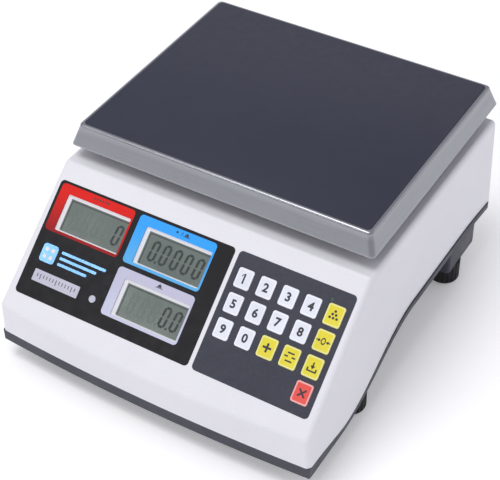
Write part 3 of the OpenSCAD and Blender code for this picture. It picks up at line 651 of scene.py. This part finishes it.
def figure(x, width, height, lit):
    """The lit and the unlit segments of one slanted figure."""
    t, gap, lean = 0.12 * height, 0.007 * height, 0.10
    side = (width - t) / 2
    reach = (height - t) / 2

    def at(px, pv):
        return x + px + lean * pv, pv

    def level(pv):
        a = side - gap
        return [at(-a, pv), at(-a + t / 2, pv - t / 2), at(a - t / 2, pv - t / 2), at(a, pv),
                at(a - t / 2, pv + t / 2), at(-a + t / 2, pv + t / 2)]

    def upright(px, low, high):
        low, high = low + gap, high - gap
        return [at(px, low), at(px + t / 2, low + t / 2), at(px + t / 2, high - t / 2), at(px, high),
                at(px - t / 2, high - t / 2), at(px - t / 2, low + t / 2)]

    shapes = {
        "a": level(reach), "g": level(0), "d": level(-reach),
        "b": upright(side, 0, reach), "c": upright(side, -reach, 0),
        "e": upright(-side, -reach, 0), "f": upright(-side, 0, reach),
    }
    return [shapes[s] for s in lit], [shapes[s] for s in shapes if s not in lit]


def make_display(name, node, zeros, point=None):
    """Zeros at the right of a display, with a point after one of them counted from the right."""
    low, high = panel_box(node)
    glass_x = (low.x + high.x) / 2 + GLASS_SHIFT[0] * MM
    glass_v = (low.y + high.y) / 2 + GLASS_SHIFT[1] * MM
    glass_n = panel_box("lcd_panels")[1].z
    place = on_panel(glass_x, glass_v, glass_n + 0.03 * MM)
    behind = Matrix.Translation((0, 0, -0.01 * MM))
    right_end = 30.0
    dot = 0.1 * FIGURE_HEIGHT
    lit, unlit, unlit_points = [], [], []
    for i in range(FIGURES):
        x = right_end - (i + 0.5) * FIGURE_PITCH
        on, off = figure(x, 0.68 * FIGURE_PITCH, FIGURE_HEIGHT, ZERO_SEGMENTS if i < zeros else "")
        lit += on
        unlit += off
        mark = bar(x + 0.42 * FIGURE_PITCH, (dot - FIGURE_HEIGHT) / 2, dot, dot)
        (lit if i == point else unlit_points).append(mark)
    # Two dark bars along the glass's left and top edges, inside the bezel: painted shadow of the bezel
    bezel_shadow = [bar(-30.9, 0, 0.7, 28.3), bar(0, 13.8, 62.5, 0.7)]
    printed(name + "_painted_shadow", bezel_shadow, "casing", place, "ink_dark")
    printed(name + "_figures", lit, "casing", place, "ink_lcd")
    printed(name + "_unlit", unlit + unlit_points, "casing", place @ behind, "ink_lcd_faint")


# ---------- marks on the overlays, the level and the rocker ----------


def make_frame_marks():
    """A generic mark at the top of each coloured frame: pieces, weight of one piece, weight."""
    from_top = 3.4 * MM
    shift_x = 4 * MM
    for node, shapes in (
        ("red_frame", [disc(x, 0, 0.9) for x in (-7.5, -4.5, -1.5, 1.5, 4.5, 7.5)]),
        ("blue_frame", [disc(-4.5, 0, 1.1), bar(0, 0, 0.7, 3.2, 1.0)] + weight_mark(5.5)),
        ("grey_frame", weight_mark(0)),
    ):
        low, high = panel_box(node)
        place = on_panel((low.x + high.x) / 2 + shift_x, high.y - from_top, high.z + LEGEND_N)
        printed(node + "_mark", shapes, "casing", place, "ink_dark")


def make_strip_ticks():
    """Plain ticks along the light strip, every fifth one longer."""
    low, high = panel_box("rating_strip")
    strip_middle = 24.75 * MM
    pitch = 3.4
    ticks = [bar(i * pitch, 0.7 if i % 5 else 0, 0.7, 3.2 if i % 5 else 5.0) for i in range(-6, 7)]
    place = on_panel(low.x + strip_middle, (low.y + high.y) / 2, high.z + LEGEND_N)
    printed("strip_ticks", ticks, "casing", place, "ink_dark")


def make_badge_dots():
    """Four dots on the badge's square."""
    low, high = panel_box("name_badge")
    square_middle = (8 * MM, -8.5 * MM)
    dots = [disc(x, v, 1.9) for x in (-3.2, 3.2) for v in (-3.4, 3.4)]
    place = on_panel(low.x + square_middle[0], high.y + square_middle[1], high.z + LEGEND_N)
    printed("badge_dots", dots, "casing", place, "ink_white")


def make_level_marks():
    """The level's black collar, its target ring and the bubble in the middle."""
    low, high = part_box("bubble_level")
    centre = (low + high) / 2
    radius = (high.x - low.x) / 2 / MM
    place = Matrix.Translation((centre.x, centre.y, high.z + LEGEND_N))
    rings = ring_shapes(0, 0, radius - 0.2, 2.0, 32) + ring_shapes(0, 0, 3.4, 0.35)
    printed("level_rings", rings, "casing", place, "ink_dark")
    printed("level_bubble", [disc(0.5, 0.3, 2.4)], "casing", place, "ink_bubble")


def make_rocker_marks():
    """The on and off marks on the rocker's two faces: a bar on the upper one, a ring on the lower."""
    joint = next(j for j in frame["record"]["behaviour"]["joints"] if j["name"] == "power_rocker_tilt")
    pivot = Matrix.Translation(joint["pos_m"])
    tilt = math.radians(joint["range_deg"][1])
    facing_back = Matrix(((-1, 0, 0), (0, 0, 1), (0, 1, 0))).to_4x4()
    face_out = 5 * MM
    face_up = 4.2 * MM
    for name, shapes, lean, height in (
        ("rocker_on", [bar(0, 0, 0.8, 3.4)], tilt, face_up),
        ("rocker_off", ring_shapes(0, 0, 1.6, 0.6), 0, -face_up),
    ):
        face = Matrix.Rotation(-lean, 4, "X") @ Matrix.Translation((0, face_out + LEGEND_N, height))
        printed(name, shapes, "power_rocker", pivot @ face @ facing_back, "ink_white")


make_pan_sheet()
make_pan_film()
make_keys()
make_display("counter", "red_frame", zeros=1)
make_display("unit_weight", "blue_frame", zeros=5, point=4)
make_display("weight", "grey_frame", zeros=2, point=1)
make_frame_marks()
make_strip_ticks()
make_badge_dots()
make_level_marks()
make_rocker_marks()

# ---------- floor, light and camera ----------


def studio_floor():
    mesh = bpy.data.meshes.new("studio_floor")
    reach = 6.0
    below_feet = -0.5 * MM
    bm = bmesh.new()
    corners = ((-1, -1), (1, -1), (1, 1), (-1, 1))
    bm.faces.new([bm.verts.new((sx * reach, sy * reach, below_feet)) for sx, sy in corners])
    bm.to_mesh(mesh)
    bm.free()
    floor = bpy.data.objects.new("studio_floor", mesh)
    bpy.context.scene.collection.objects.link(floor)
    s = Surface("studio_floor", Roughness=0.9, Emission_Color=(1, 1, 1, 1), Emission_Strength=0.2)
    s.colour(s.tones(s.noise(0.4, 2), (0.90, 0.90, 0.905), (0.93, 0.93, 0.935)))
    floor.data.materials.append(s.material)


def area_light(name, place, size, power, colour=(1, 1, 1)):
    light = bpy.data.lights.new(name, "AREA")
    light.shape = "RECTANGLE"
    light.size, light.size_y = size
    light.energy = power
    light.color = colour
    lamp = bpy.data.objects.new(name, light)
    lamp.location = place
    aim = Vector((0, 0, 0.1))
    lamp.rotation_euler = (aim - Vector(place)).to_track_quat("-Z", "Y").to_euler()
    bpy.context.scene.collection.objects.link(lamp)


def studio_light():
    """A pale surround, a large light above, and two strips that draw lines on the pan's bends."""
    world = bpy.data.worlds.new("studio")
    bpy.context.scene.world = world
    world.use_nodes = True
    background = world.node_tree.nodes["Background"]
    background.inputs["Color"].default_value = (0.94, 0.93, 1.0, 1)
    background.inputs["Strength"].default_value = 0.6
    area_light("top_light", (-0.3, -0.55, 2.3), (1.4, 0.8), 21.5, (1.0, 1.0, 0.99))
    area_light("front_strip", (-0.85, -1.45, 1.45), (1.4, 0.12), 4.2)
    area_light("side_strip", (1.35, 1.35, 1.0), (1.2, 0.12), 1.8, (0.93, 0.93, 1.0))
    area_light("back_light", (-0.9, 1.8, 1.1), (1.8, 0.8), 1)


AZIMUTH = math.radians(31.86)
ELEVATION = math.radians(41.83)
ROLL = math.radians(-1.02)
DISTANCE = 1.2223
LOOK_AT = Vector((0.0223, -0.0439, 0.120))
LENS_MM = 99.25


def studio_camera():
    back = Vector((
        math.sin(AZIMUTH) * math.cos(ELEVATION),
        -math.cos(AZIMUTH) * math.cos(ELEVATION),
        math.sin(ELEVATION),
    ))
    right = Vector((math.cos(AZIMUTH), math.sin(AZIMUTH), 0))
    up = back.cross(right)
    rolled_right = right * math.cos(ROLL) + up * math.sin(ROLL)
    rolled_up = back.cross(rolled_right)
    data = bpy.data.cameras.new("camera")
    data.sensor_width = 36
    data.lens = LENS_MM
    data.clip_end = 50
    camera = bpy.data.objects.new("camera", data)
    turn = Matrix((rolled_right, rolled_up, back)).transposed().to_4x4()
    camera.matrix_world = Matrix.Translation(LOOK_AT + back * DISTANCE) @ turn
    bpy.context.scene.collection.objects.link(camera)
    bpy.context.scene.camera = camera


studio_floor()
studio_light()
studio_camera()
bpy.context.scene.view_settings.view_transform = "Standard"
